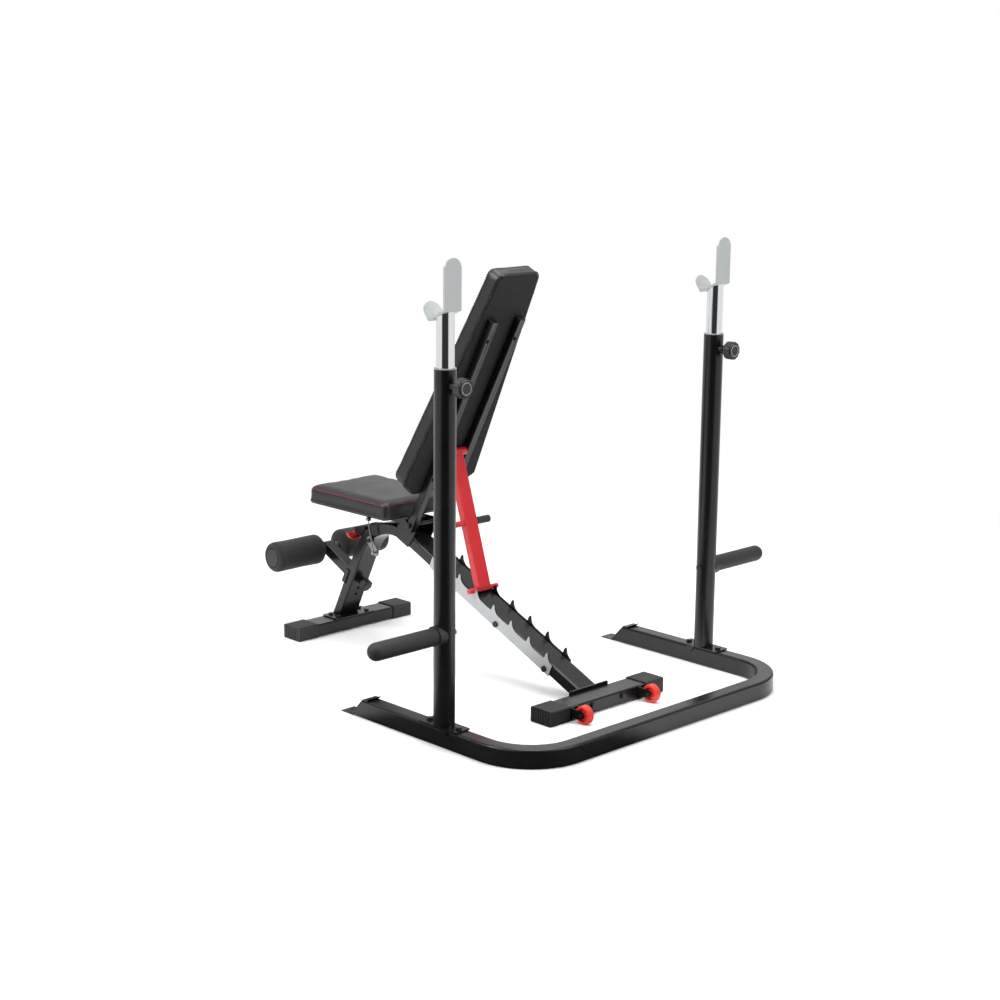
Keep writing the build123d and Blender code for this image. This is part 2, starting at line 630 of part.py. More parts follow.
def frame_lugs():
    """Lug of the side link, cheeks of the release lever and the housing of the post's pull pin."""
    with BuildPart() as lugs:
        for _, side in SIDES:
            inner, outer = side * 34.0, side * 37.5
            plate(min(inner, outer), max(inner, outer),
                  [(LEVER_PIVOT[0] - 12, LEVER_PIVOT[1] - 10), (LEVER_PIVOT[0] - 12, LEVER_PIVOT[1] + 10),
                   (LEVER_PIVOT[0] + 40, LEVER_PIVOT[1] + 22), (LEVER_PIVOT[0] + 30, LEVER_PIVOT[1] - 20)])
        with BuildSketch(side_plane(-60)):
            with Locations(bend_centre()):
                Circle(BEND_R + TUBE_H / 2)
        extrude(amount=120, mode=Mode.SUBTRACT)
        bore((-40, *LEVER_PIVOT), (40, *LEVER_PIVOT), 3.9)
        with BuildSketch(side_plane(38)):
            with Locations(LINK_TOP):
                Circle(15)
                Circle(4, mode=Mode.SUBTRACT)
        extrude(amount=5.6)
        start, end = on_post(ARM_S, TUBE_H / 2), on_post(ARM_S, TUBE_H / 2 + 16)
        rod((0, *start), (0, *end), 13)
        bore((0, *start), (0, *end), 5.06)
    save(lugs, "frame_lugs")


def pivot_bolts():
    """Bolts of the backrest and seat pivots, the lever's pin and the side link's shoulder bolt."""
    with BuildPart() as bolts:
        for pivot, reach in ((BACK_PIVOT, RAIL_X + RAIL_W / 2 + 1), (SEAT_PIVOT, TUBE_W / 2 + 4.5)):
            hex_bolt((reach, *pivot), (-reach, *pivot), 6, 10, thick=6, both=True)
        rod((-40, *LEVER_PIVOT), (40, *LEVER_PIVOT), 3.9)
        rod((38, *LINK_TOP), (52, *LINK_TOP), 4)
        rod((47.2, *LINK_TOP), (52, *LINK_TOP), 7)
    save(bolts, "pivot_bolts")


# ---------------------------------------------------------------- backrest
def back_rails():
    """Square tubes from the pivot up behind the pad."""
    rear = RAIL_FRONT + RAIL_D
    start = on_back(-14, RAIL_FRONT + RAIL_D / 2)
    hinge = on_back(*STRUT_PIVOT)
    with BuildPart() as rails:
        for _, side in SIDES:
            x = side * RAIL_X
            with BuildSketch(tilted_plane(start, x, back_dir, back_rear)):
                RectangleRounded(RAIL_W, RAIL_D, 3)
                RectangleRounded(RAIL_W - 4, RAIL_D - 4, 1.5, mode=Mode.SUBTRACT)
            extrude(amount=RAIL_TOP + 14)
            bore((x - 20, *BACK_PIVOT), (x + 20, *BACK_PIVOT), 6.06)
            bore((x - 20, *hinge), (x + 20, *hinge), 5)
            for a in PAD_BOLTS:
                near, far = on_back(a, RAIL_FRONT - 2), on_back(a, rear + 2)
                bore((x, *near), (x, *far), 3)
    save(rails, "back_rails")


def rail_caps():
    """Plastic plugs in the open tops and bottoms of the rails."""
    with BuildPart() as plugs:
        for _, side in SIDES:
            for a, sign in ((-14.0, -1), (RAIL_TOP, 1)):
                spot = on_back(a, RAIL_FRONT + RAIL_D / 2)
                out = (sign * back_dir[0], sign * back_dir[1])
                with BuildSketch(tilted_plane(spot, side * RAIL_X, out, back_rear)):
                    RectangleRounded(RAIL_W, RAIL_D, 3)
                extrude(amount=2.5)
                with BuildSketch(tilted_plane(spot, side * RAIL_X, out, back_rear)):
                    RectangleRounded(RAIL_W - 4, RAIL_D - 4, 1.5)
                extrude(amount=-5)
    save(plugs, "rail_end_caps")


def pad_bolts():
    rear = RAIL_FRONT + RAIL_D
    with BuildPart() as bolts:
        for _, side in SIDES:
            for a in PAD_BOLTS:
                outer, inner = on_back(a, rear), on_back(a, RAIL_FRONT - 9)
                hex_bolt((side * RAIL_X, *outer), (side * RAIL_X, *inner), 3, 6, thick=4)
    save(bolts, "back_pad_bolts")


def pad_outline(inset):
    """Half-width against height of the back pad, shrunk by inset, as a closed outline."""
    taper = (PAD_WIDE - PAD_NARROW) / (PAD_TOP - PAD_BOTTOM - 51)
    top_cut = 16.0
    right = [(92 - inset, PAD_BOTTOM + inset), (PAD_WIDE - inset, PAD_BOTTOM + 51 + inset / 2),
             (PAD_NARROW + taper * top_cut - inset, PAD_TOP - top_cut - inset / 2),
             (PAD_NARROW - 12 - inset, PAD_TOP - inset)]
    return right + [(-x, a) for x, a in reversed(right)]


def back_face(b):
    """The sketch plane b behind the rails' pivot line: x across, y up the backrest."""
    spot = on_back(0, b)
    return Plane(origin=(0, *spot), x_dir=(1, 0, 0), z_dir=(0, -back_rear[0], -back_rear[1]))


def back_board():
    """Plywood board let into the pad's rear, which takes the rail bolts."""
    with BuildPart() as board:
        with BuildSketch(back_face(RAIL_FRONT)):
            with BuildLine():
                Polyline(*pad_outline(9), close=True)
            make_face()
        extrude(amount=BOARD_T)
        for _, side in SIDES:
            for a in PAD_BOLTS:
                outer, inner = on_back(a, RAIL_FRONT + 1), on_back(a, RAIL_FRONT - 10)
                bore((side * RAIL_X, *outer), (side * RAIL_X, *inner), 3)
    save(board, "back_board")


def back_pad():
    with BuildPart() as pad:
        with BuildSketch(back_face(RAIL_FRONT)):
            with BuildLine():
                Polyline(*pad_outline(0), close=True)
            make_face()
        extrude(amount=PAD_T)
        with BuildSketch(back_face(RAIL_FRONT)):
            with BuildLine():
                Polyline(*pad_outline(9), close=True)
            make_face()
        extrude(amount=BOARD_T, mode=Mode.SUBTRACT)
    save(pad, "back_pad")


# ---------------------------------------------------------------- red strut
def strut_ends():
    top = on_back(*STRUT_PIVOT)
    low = on_beam(pin_u(STRUT_TOOTH), NOTCH_FLOOR + NOTCH_R)
    length = hypot(low[0] - top[0], low[1] - top[1])
    down = ((low[0] - top[0]) / length, (low[1] - top[1]) / length)
    return top, low, down, length


def strut_tube():
    """Rectangular tube that props the backrest, with a bored head and a notched foot."""
    top, low, down, length = strut_ends()
    rear = (-down[1], down[0])
    start = along(top, down, rear, 6, 0)
    with BuildPart() as tube:
        with BuildSketch(tilted_plane(start, 0, down, rear)):
            RectangleRounded(STRUT_W, STRUT_D, 3)
            RectangleRounded(STRUT_W - 4, STRUT_D - 4, 1.5, mode=Mode.SUBTRACT)
        extrude(amount=length - 9)
        bore((-40, *top), (40, *top), 13)
        bore((-40, *low), (40, *low), PIN_R)
        middle = along(top, down, rear, length / 2 + 6, 0)
        bore((-40, *middle), (40, *middle), 9)
    save(tube, "strut_tube")


def strut_hinge_tube():
    top = strut_ends()[0]
    reach = RAIL_X - RAIL_W / 2 - 0.5
    with BuildPart() as hinge:
        rod((-reach, *top), (reach, *top), 13)
        bore((-reach, *top), (reach, *top), 5.06)
    save(hinge, "strut_hinge_tube")


def strut_hinge_bolt():
    top = strut_ends()[0]
    reach = RAIL_X + RAIL_W / 2
    with BuildPart() as bolt:
        hex_bolt((reach, *top), (-reach, *top), 5, 8.5, thick=5, both=True)
    save(bolt, "strut_hinge_bolt")


def strut_pin():
    low = strut_ends()[1]
    with BuildPart() as pin:
        rod((-60, *low), (60, *low), PIN_R)
    save(pin, "strut_cross_pin")


def strut_handle():
    top, _, down, length = strut_ends()
    middle = along(top, down, (0, 0), length / 2 + 6, 0)
    with BuildPart() as handle:
        rod((-80, *middle), (116, *middle), 9)
    save(handle, "strut_handle")


def handle_grips():
    """Rubber grips, closed at their outer ends."""
    top, _, down, length = strut_ends()
    middle = along(top, down, (0, 0), length / 2 + 6, 0)
    with BuildPart() as grips:
        for x0, x1, x2 in ((-30, -83, -80), (62, 119, 116)):
            with BuildSketch(Plane(origin=(x0, *middle), z_dir=(1 if x1 > x0 else -1, 0, 0))):
                Circle(11.5)
            extrude(amount=abs(x1 - x0))
            bore((x0, *middle), (x2, *middle), 9)
        fillet(grips.edges().filter_by(GeomType.CIRCLE).filter_by(lambda e: abs(e.radius - 11.5) < 0.1), 1.8)
    save(grips, "strut_grips")


# ---------------------------------------------------------------- seat
def seat_bracket():
    """Channel under the seat, hinged at its rear end, with an ear for the spring."""
    with BuildPart() as channel:
        with BuildSketch(Plane.XY.offset(SEAT_BOTTOM - 4)):
            with Locations((0, (SEAT_FRONT + SEAT_REAR) / 2)):
                RectangleRounded(150, 300, 6)
            with Locations((0, -478)):
                with GridLocations(120, 160, 2, 2):
                    Circle(3, mode=Mode.SUBTRACT)
        extrude(amount=4)
        for _, side in SIDES:
            inner, outer = side * 30.0, side * 34.0
            plate(min(inner, outer), max(inner, outer),
                  [(SEAT_PIVOT[0] - 16, SEAT_PIVOT[1] - 13), (SEAT_PIVOT[0] + 11, SEAT_PIVOT[1] - 13),
                   (SEAT_PIVOT[0] + 11, SEAT_BOTTOM - 3), (SEAT_FRONT + 50, SEAT_BOTTOM - 3),
                   (SEAT_FRONT + 60, SEAT_BOTTOM - 16), (ROD_EAR[0] - 60, SEAT_BOTTOM - 28),
                   (ROD_EAR[0] + 60, SEAT_BOTTOM - 28)])
        with BuildSketch(side_plane(50)):
            with BuildLine():
                Polyline((ROD_EAR[0] - 14, SEAT_BOTTOM - 3), (ROD_EAR[0] - 8, ROD_EAR[1]),
                         (ROD_EAR[0] + 8, ROD_EAR[1]), (ROD_EAR[0] + 14, SEAT_BOTTOM - 3), close=True)
            make_face()
            with Locations(ROD_EAR):
                Circle(8)
                Circle(3, mode=Mode.SUBTRACT)
        extrude(amount=3)
        bore((-40, *SEAT_PIVOT), (40, *SEAT_PIVOT), 6.06)
    save(channel, "seat_bracket")


def seat_board():
    with BuildPart() as board:
        with BuildSketch(Plane.XY.offset(SEAT_BOTTOM)):
            with Locations((0, (SEAT_FRONT + SEAT_REAR) / 2)):
                RectangleRounded(2 * SEAT_HALF - 16, SEAT_REAR - SEAT_FRONT - 16, 14)
            for x in (-60, 60):
                for y in (-398, -558):
                    with Locations((x, y)):
                        Circle(3, mode=Mode.SUBTRACT)
        extrude(amount=BOARD_T)
    save(board, "seat_board")


def seat_pad():
    with BuildPart() as pad:
        with BuildSketch(Plane.XY.offset(SEAT_BOTTOM)):
            with Locations((0, (SEAT_FRONT + SEAT_REAR) / 2)):
                RectangleRounded(2 * SEAT_HALF, SEAT_REAR - SEAT_FRONT, 22)
        extrude(amount=SEAT_TOP - SEAT_BOTTOM)
        with BuildSketch(Plane.XY.offset(SEAT_BOTTOM)):
            with Locations((0, (SEAT_FRONT + SEAT_REAR) / 2)):
                RectangleRounded(2 * SEAT_HALF - 16, SEAT_REAR - SEAT_FRONT - 16, 14)
        extrude(amount=BOARD_T, mode=Mode.SUBTRACT)
    save(pad, "seat_pad")


def seat_bolts():
    with BuildPart() as bolts:
        for x in (-60, 60):
            for y in (-398, -558):
                hex_bolt((x, y, SEAT_BOTTOM - 4), (x, y, SEAT_BOTTOM + 9), 3, 6, thick=4)
    save(bolts, "seat_bolts")


def seat_spring():
    """Thin tension spring with an eye at each end, outside the side link."""
    run = (ROD_EAR[0] - LINK_LOW[0], ROD_EAR[1] - LINK_LOW[1])
    body_low = (LINK_LOW[0] + run[0] * 0.3, LINK_LOW[1] + run[1] * 0.3)
    body_top = (LINK_LOW[0] + run[0] * 0.8, LINK_LOW[1] + run[1] * 0.8)
    x = SPRING_X
    with BuildPart() as spring:
        rod((x, *ROD_EAR), (x, *LINK_LOW), 1.4)
        rod((x, *body_low), (x, *body_top), 2.8)
        for spot in (ROD_EAR, LINK_LOW):
            with BuildSketch(side_plane(x - 2.2)):
                with Locations(spot):
                    Circle(6)
            extrude(amount=4.4)
        for spot in (ROD_EAR, LINK_LOW):
            bore((x - 5, *spot), (x + 5, *spot), 3.1)
    save(spring, "seat_spring")


def spring_pin():
    """Pin that hangs the spring on the seat bracket's ear."""
    with BuildPart() as pin:
        rod((50, *ROD_EAR), (SPRING_X + 4.5, *ROD_EAR), 3)
        rod((SPRING_X + 2.5, *ROD_EAR), (SPRING_X + 5.5, *ROD_EAR), 5.5)
    save(pin, "spring_pin")


def side_link():
    """Flat link beside the arch; its lower end carries the spring."""
    dx, dy = LINK_LOW[0] - LINK_TOP[0], LINK_LOW[1] - LINK_TOP[1]
    ux, uy = dx / hypot(dx, dy) * 13, dy / hypot(dx, dy) * 13
    with BuildPart() as link:
        with BuildSketch(side_plane(44)):
            with BuildLine():
                Polyline((LINK_TOP[0] - uy, LINK_TOP[1] + ux), (LINK_LOW[0] - uy, LINK_LOW[1] + ux),
                         (LINK_LOW[0] + uy, LINK_LOW[1] - ux), (LINK_TOP[0] + uy, LINK_TOP[1] - ux),
                         close=True)
            make_face()
            with Locations(LINK_TOP, LINK_LOW):
                Circle(13)
            with Locations(LINK_TOP):
                Circle(4.1, mode=Mode.SUBTRACT)
            with Locations(LINK_LOW):
                Circle(3, mode=Mode.SUBTRACT)
        extrude(amount=3)
    save(link, "seat_side_link")


def link_low_bolt():
    with BuildPart() as bolt:
        rod((41.5, *LINK_LOW), (SPRING_X + 3.5, *LINK_LOW), 3)
        rod((40.5, *LINK_LOW), (43.9, *LINK_LOW), 6)
        rod((SPRING_X + 3, *LINK_LOW), (SPRING_X + 6, *LINK_LOW), 6)
    save(bolt, "link_low_bolt")


# ---------------------------------------------------------------- seat release lever


def bend_centre():
    """Centre of the arch's bend in (Y, Z)."""
    turn = radians(180 - (90 - POST_LEAN) - BEAM_SLOPE)
    reach = BEND_R / sin(turn / 2)
    inward = (beam_dir[0] - post_dir[0], beam_dir[1] - post_dir[1])
    size = hypot(*inward)
    return (VERTEX[0] + inward[0] / size * reach, VERTEX[1] + inward[1] / size * reach)


def release_lever():
    """Red half-round cup under the seat's front, squeezed up to free the seat."""
    front, rim = LEVER_PIVOT[0] - 64, LEVER_PIVOT[1] - 22
    with BuildPart() as lever:
        rod((-33, *LEVER_PIVOT), (33, *LEVER_PIVOT), 8)
        with BuildSketch(Plane(origin=(0, front, rim), x_dir=(-1, 0, 0), z_dir=(0, 1, 0))):
            with BuildLine():
                Line((-33, 0), (33, 0))
                ThreePointArc((33, 0), (0, -24), (-33, 0))
            make_face()
        extrude(amount=16)
        with BuildSketch(Plane(origin=(0, front + 3, rim), x_dir=(-1, 0, 0), z_dir=(0, 1, 0))):
            with BuildLine():
                Line((-30, 1), (30, 1))
                ThreePointArc((30, 1), (0, -21), (-30, 1))
            make_face()
        extrude(amount=14, mode=Mode.SUBTRACT)
        plate(-14, 14, [(front, rim - 8), (LEVER_PIVOT[0] + 3, LEVER_PIVOT[1] - 6),
                        (LEVER_PIVOT[0] - 3, LEVER_PIVOT[1] + 6), (front, rim)])
        bore((-40, *LEVER_PIVOT), (40, *LEVER_PIVOT), 3.98)
    save(lever, "release_lever")


# ---------------------------------------------------------------- leg hold-down
def leg_saddle():
    """Channel that wraps the post's front and slides on it."""
    face = -TUBE_H / 2 - 0.3
    start = on_post(ARM_S - 25, 0)
    with BuildPart() as saddle:
        with BuildSketch(tilted_plane(start, 0, post_dir, (-post_back[0], -post_back[1]))):
            with Locations((0, -face - 4)):
                Rectangle(2 * (TUBE_W / 2 + 4.3), 16)
            with Locations((0, -face - 8)):
                Rectangle(TUBE_W + 0.6, 16, mode=Mode.SUBTRACT)
        extrude(amount=50)
    save(saddle, "leg_arm_saddle")


def leg_arm():
    """Square tube from the sliding channel to the roller axle."""
    tip = on_post(ARM_S, -ARM_REACH)
    start = on_post(ARM_S, -TUBE_H / 2 - 4.3)
    with BuildPart() as arm:
        with BuildSketch(tilted_plane(start, 0, (-post_back[0], -post_back[1]), post_dir)):
            RectangleRounded(38, 38, 4)
            RectangleRounded(34, 34, 2, mode=Mode.SUBTRACT)
        extrude(amount=ARM_REACH - TUBE_H / 2 - 4.3)
        with BuildSketch(side_plane(-19)):
            with Locations(tip):
                Circle(19)
                Circle(17, mode=Mode.SUBTRACT)
        extrude(amount=38)
        bore((-30, *tip), (30, *tip), 12.5)
    save(arm, "leg_arm")


def roller_axle():
    tip = on_post(ARM_S, -ARM_REACH)
    reach = ROLLER_X + ROLLER_L - 3.5
    with BuildPart() as axle:
        with BuildSketch(side_plane(-reach)):
            with Locations(tip):
                Circle(12.5)
                Circle(10.5, mode=Mode.SUBTRACT)
        extrude(amount=2 * reach)
    save(axle, "roller_axle")


def foam_roller(name, side):
    """Foam sleeve with rounded ends, turning on the axle."""
    tip = on_post(ARM_S, -ARM_REACH)
    x0, x1 = (ROLLER_X, ROLLER_X + ROLLER_L) if side > 0 else (-ROLLER_X - ROLLER_L, -ROLLER_X)
    with BuildPart() as roller:
        with BuildSketch(side_plane(x0)):
            with Locations(tip):
                Circle(ROLLER_R)
        extrude(amount=x1 - x0)
        fillet(roller.edges(), 9)
        bore((x0 - 1, *tip), (x1 + 1, *tip), 12.55)
        outer = x1 if side > 0 else x0
        bore((outer, *tip), (outer - side * 9, *tip), 30)
    save(roller, f"{name}_foam_roller")


def roller_cap(name, side):
    """Plain disc that closes the roller's outer end and turns with it."""
    tip = on_post(ARM_S, -ARM_REACH)
    outer = side * (ROLLER_X + ROLLER_L)
    with BuildPart() as cap:
        rod((outer - side * 3, *tip), (outer + side * 1.5, *tip), 29.8)
        fillet(cap.edges().sort_by(Axis.X)[-1 if side > 0 else 0], 1.4)
    save(cap, f"{name}_roller_cap")


def leg_knob():
    """Fluted pull knob behind the post, on its steel plunger."""
    with BuildPart() as knob:
        with BuildSketch(Plane(origin=(0, *on_post(ARM_S, TUBE_H / 2 + 17)), z_dir=(0, *post_back))):
            Circle(20)
            with PolarLocations(22, 8):
                Circle(4, mode=Mode.SUBTRACT)
        extrude(amount=20)
        with BuildSketch(Plane(origin=(0, *on_post(ARM_S, TUBE_H / 2 + 37)), z_dir=(0, *post_back))):
            Circle(16)
        extrude(amount=3, taper=30)
        rod((0, *on_post(ARM_S, -10)), (0, *on_post(ARM_S, TUBE_H / 2 + 20)), 5)
    save(knob, "leg_pin_knob")


def build_rack():
    base_frame()
    end_covers()
    saddles()
    uprights()
    guide_bushes()
    pin_collars()
    peg_washers()
    peg_cores()
    peg_sleeves()
    rack_bolts()
    for name, side in SIDES:
        chrome_post(name, side)
        bar_hook(name, side)
        pin_knob(name, side)


def build_bench():
    main_frame()
    ladders()
    ladder_bolts()
    foot("front_foot", FRONT_FOOT_Y)
    foot("rear_foot", REAR_FOOT_Y)
    foot_caps()
    foot_plates()
    foot_bolts()
    wheel_brackets()
    wheel_axles()
    pivot_brackets()
    frame_lugs()
    pivot_bolts()
    side_link()
    link_low_bolt()


def build_moving():
    back_rails()
    rail_caps()
    pad_bolts()
    back_board()
    back_pad()
    strut_tube()
    strut_hinge_tube()
    strut_hinge_bolt()
    strut_pin()
    strut_handle()
    handle_grips()
    seat_bracket()
    seat_board()
    seat_pad()
    seat_bolts()
    seat_spring()
    spring_pin()
    release_lever()
    leg_saddle()
    leg_arm()
    roller_axle()
    leg_knob()
    for name, side in SIDES:
        wheel(name, side)
        foam_roller(name, side)
        roller_cap(name, side)


build_rack()
build_bench()
build_moving()
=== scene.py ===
"""Looks of the adjustable bench in its squat rack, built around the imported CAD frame."""

import json
import math

import bmesh
import bpy
from mathutils import Matrix, Vector
from mathutils.bvhtree import BVHTree


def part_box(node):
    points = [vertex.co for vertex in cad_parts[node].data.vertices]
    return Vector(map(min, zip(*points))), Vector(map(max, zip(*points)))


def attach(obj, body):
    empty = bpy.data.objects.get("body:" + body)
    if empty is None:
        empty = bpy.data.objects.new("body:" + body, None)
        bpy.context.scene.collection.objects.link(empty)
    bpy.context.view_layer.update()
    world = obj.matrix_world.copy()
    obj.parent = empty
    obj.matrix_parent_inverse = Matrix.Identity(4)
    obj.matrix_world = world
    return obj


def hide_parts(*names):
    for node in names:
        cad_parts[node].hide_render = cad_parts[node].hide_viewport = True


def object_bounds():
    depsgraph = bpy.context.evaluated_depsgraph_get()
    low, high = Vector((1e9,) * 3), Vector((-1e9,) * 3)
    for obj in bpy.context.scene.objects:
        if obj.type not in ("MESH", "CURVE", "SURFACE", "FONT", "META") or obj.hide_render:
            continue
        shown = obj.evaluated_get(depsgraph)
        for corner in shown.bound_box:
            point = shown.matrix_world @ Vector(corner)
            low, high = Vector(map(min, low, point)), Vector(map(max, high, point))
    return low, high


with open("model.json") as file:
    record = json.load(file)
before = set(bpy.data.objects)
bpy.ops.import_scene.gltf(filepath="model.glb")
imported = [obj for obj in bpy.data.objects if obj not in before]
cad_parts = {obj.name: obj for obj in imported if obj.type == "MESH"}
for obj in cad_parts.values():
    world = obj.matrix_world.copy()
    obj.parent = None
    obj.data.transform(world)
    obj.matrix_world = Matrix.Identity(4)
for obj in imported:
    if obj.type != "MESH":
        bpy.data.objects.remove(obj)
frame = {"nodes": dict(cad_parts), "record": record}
cad_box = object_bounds()
NODES = frame["nodes"]
SLOT_OF = {s["node"]: s["material_slot"] for s in frame["record"]["subparts"]}
BACK_ANGLE = math.radians(62.2)        # the backrest's rise from the floor
ROOM_DIM, ROOM_BRIGHT = 0.30, 1.15     # the room's strength at the horizon and overhead
DARK_WALL = (0.68, 0.73, 0.0)          # fixed direction of the stage's dark sector
OUTLINE_SPACING = 0.006
STITCH_LENGTH, STITCH_GAP, STITCH_RADIUS = 0.0055, 0.0035, 0.0008
CLOTH_FRAMES = 20


# ---------------------------------------------------------------- materials
def link(tree, source, output, target, name):
    tree.links.new(source.outputs[output], target.inputs[name])


def noise_node(tree, coords, scale, detail=4.0, rough=0.55):
    node = tree.nodes.new("ShaderNodeTexNoise")
    node.inputs["Scale"].default_value = scale
    node.inputs["Detail"].default_value = detail
    node.inputs["Roughness"].default_value = rough
    link(tree, coords, "Object", node, "Vector")
    return node


def remap(tree, source, output, low, high):
    node = tree.nodes.new("ShaderNodeMapRange")
    node.inputs["From Min"].default_value = 0.3
    node.inputs["From Max"].default_value = 0.7
    node.inputs["To Min"].default_value = low
    node.inputs["To Max"].default_value = high
    link(tree, source, output, node, "Value")
    return node


def material(name, colour, rough, metallic=0.0, vary=0.12, patch=9.0, smudge=6.0, grain=(), **sockets):
    """A shader with patchy colour, uneven roughness and layers of grain given as (kind, scale, depth)."""
    made = bpy.data.materials.new(name)
    made.use_nodes = True
    tree = made.node_tree
    shader = tree.nodes["Principled BSDF"]
    coords = tree.nodes.new("ShaderNodeTexCoord")
    patches = noise_node(tree, coords, patch)
    mix = tree.nodes.new("ShaderNodeMix")
    mix.data_type = "RGBA"
    mix.inputs["A"].default_value = [c * (1 - vary) for c in colour] + [1]
    mix.inputs["B"].default_value = [min(1, c * (1 + vary)) for c in colour] + [1]
    tree.links.new(remap(tree, patches, "Fac", 0, 1).outputs["Result"], mix.inputs["Factor"])
    tree.links.new(mix.outputs["Result"], shader.inputs["Base Color"])
    smudges = noise_node(tree, coords, smudge, 6.0, 0.62)
    uneven = remap(tree, smudges, "Fac", *rough)
    tree.links.new(uneven.outputs["Result"], shader.inputs["Roughness"])
    shader.inputs["Metallic"].default_value = metallic
    for socket, value in sockets.items():
        shader.inputs[socket.replace("_", " ")].default_value = value
    previous = None
    for kind, scale, depth in grain:
        if kind == "cells":
            texture = tree.nodes.new("ShaderNodeTexVoronoi")
            texture.feature = "SMOOTH_F1"
            texture.inputs["Scale"].default_value = scale
            link(tree, coords, "Object", texture, "Vector")
            output = "Distance"
        else:
            texture = noise_node(tree, coords, scale, 3.0)
            output = "Fac"
        bump = tree.nodes.new("ShaderNodeBump")
        bump.inputs["Strength"].default_value = 0.6
        bump.inputs["Distance"].default_value = depth
        link(tree, texture, output, bump, "Height")
        if previous:
            link(tree, previous, "Normal", bump, "Normal")
        previous = bump
    if previous:
        link(tree, previous, "Normal", shader, "Normal")
    return made


MATERIALS = {
    "black_coat": material("black_coat", (0.005, 0.005, 0.0055), (0.20, 0.30), vary=0.2,
                           grain=(("noise", 900, 0.00008), ("noise", 220, 0.00012)), Specular_IOR_Level=0.40),
    "silver_coat": material("silver_coat", (0.42, 0.43, 0.44), (0.30, 0.42), metallic=0.45, vary=0.04,
                            grain=(("noise", 700, 0.00010),)),
    "pale_coat": material("pale_coat", (0.46, 0.48, 0.48), (0.26, 0.38), metallic=0.35, vary=0.04,
                          grain=(("noise", 800, 0.00010),)),
    "red_coat": material("red_coat", (0.56, 0.012, 0.018), (0.26, 0.36), vary=0.08,
                         grain=(("noise", 900, 0.00012), ("noise", 220, 0.00018)), Coat_Weight=0.2,
                         Coat_Roughness=0.2),
    "chrome": material("chrome", (0.72, 0.73, 0.75), (0.06, 0.13), metallic=1.0, vary=0.03,
                       grain=(("noise", 30, 0.00003),)),
    "zinc": material("zinc", (0.28, 0.28, 0.29), (0.28, 0.40), metallic=0.9, vary=0.06,
                     grain=(("noise", 600, 0.00008),)),
    "dark_bolt": material("dark_bolt", (0.030, 0.030, 0.033), (0.25, 0.38), metallic=0.6, vary=0.12,
                          grain=(("noise", 900, 0.00006),)),
    "black_plastic": material("black_plastic", (0.011, 0.011, 0.012), (0.40, 0.52), vary=0.12,
                              grain=(("cells", 1100, 0.00012),)),
    "grey_plastic": material("grey_plastic", (0.30, 0.31, 0.32), (0.38, 0.50), vary=0.06,
                             grain=(("cells", 1100, 0.00008),)),
    "red_plastic": material("red_plastic", (0.72, 0.035, 0.018), (0.34, 0.46), vary=0.07,
                            grain=(("cells", 1100, 0.00008),)),
    "black_rubber": material("black_rubber", (0.013, 0.013, 0.014), (0.55, 0.70), vary=0.15,
                             grain=(("cells", 800, 0.00015), ("noise", 150, 0.0002))),
    "black_foam": material("black_foam", (0.006, 0.006, 0.0065), (0.86, 0.95), vary=0.3, patch=60,
                           grain=(("cells", 620, 0.0007), ("noise", 260, 0.0006)), Sheen_Weight=0.12,
                           Sheen_Roughness=0.6),
    "black_vinyl": material("black_vinyl", (0.008, 0.008, 0.009), (0.36, 0.50), vary=0.15,
                            grain=(("cells", 520, 0.00028), ("noise", 60, 0.0005)), Coat_Weight=0.08,
                            Coat_Roughness=0.4),
    "lined_board": material("lined_board", (0.010, 0.010, 0.011), (0.82, 0.92), vary=0.25, patch=80,
                            grain=(("noise", 900, 0.0003),)),
    "red_thread": material("red_thread", (0.22, 0.010, 0.012), (0.55, 0.7), vary=0.15, patch=300,
                           grain=(("noise", 2500, 0.0002),)),
    "black_thread": material("black_thread", (0.022, 0.022, 0.024), (0.6, 0.7), vary=0.2, patch=300,
                             grain=(("noise", 2500, 0.0002),)),
}


def dress_cad_nodes():
    """Materials and edge-aware smooth shading on every CAD node; the tooth plates are pale outside only."""
    for name, node in NODES.items():
        node.data.materials.clear()
        node.data.materials.append(MATERIALS[SLOT_OF[name]])
        node.data.shade_smooth()
        node.data.set_sharp_from_angle(angle=math.radians(32))
    ladder = NODES["ladder_plates"].data
    ladder.materials.append(MATERIALS["black_coat"])
    for face in ladder.polygons:
        outward = face.normal.x * face.center.x
        face.material_index = 0 if outward > abs(face.center.x) * 0.9 else 1


# ---------------------------------------------------------------- mesh helpers
def new_piece(name, mesh_data, mat):
    piece = bpy.data.objects.new(name, mesh_data)
    bpy.context.scene.collection.objects.link(piece)
    piece.data.materials.clear()
    piece.data.materials.append(MATERIALS[mat])
    return piece


def mesh_from(name, verts, faces):
    data = bpy.data.meshes.new(name)
    data.from_pydata([tuple(v) for v in verts], [], faces)
    data.validate()
    build = bmesh.new()
    build.from_mesh(data)
    bmesh.ops.recalc_face_normals(build, faces=build.faces)
    build.to_mesh(data)
    build.free()
    data.shade_smooth()
    return data


def applied(piece):
    """The piece's mesh with its modifiers applied."""
    graph = bpy.context.evaluated_depsgraph_get()
    data = bpy.data.meshes.new_from_object(piece.evaluated_get(graph))
    piece.modifiers.clear()
    piece.data = data
    return piece


def hull(points):
    """Convex outline of 2D points, anticlockwise."""
    points = sorted({(round(x, 5), round(y, 5)) for x, y in points})

    def half(run):
        out = []
        for p in run:
            while len(out) > 1 and ((out[-1][0] - out[-2][0]) * (p[1] - out[-2][1])
                                    - (out[-1][1] - out[-2][1]) * (p[0] - out[-2][0])) <= 1e-9:
                out.pop()
            out.append(p)
        return out[:-1]

    return half(points) + half(points[::-1])


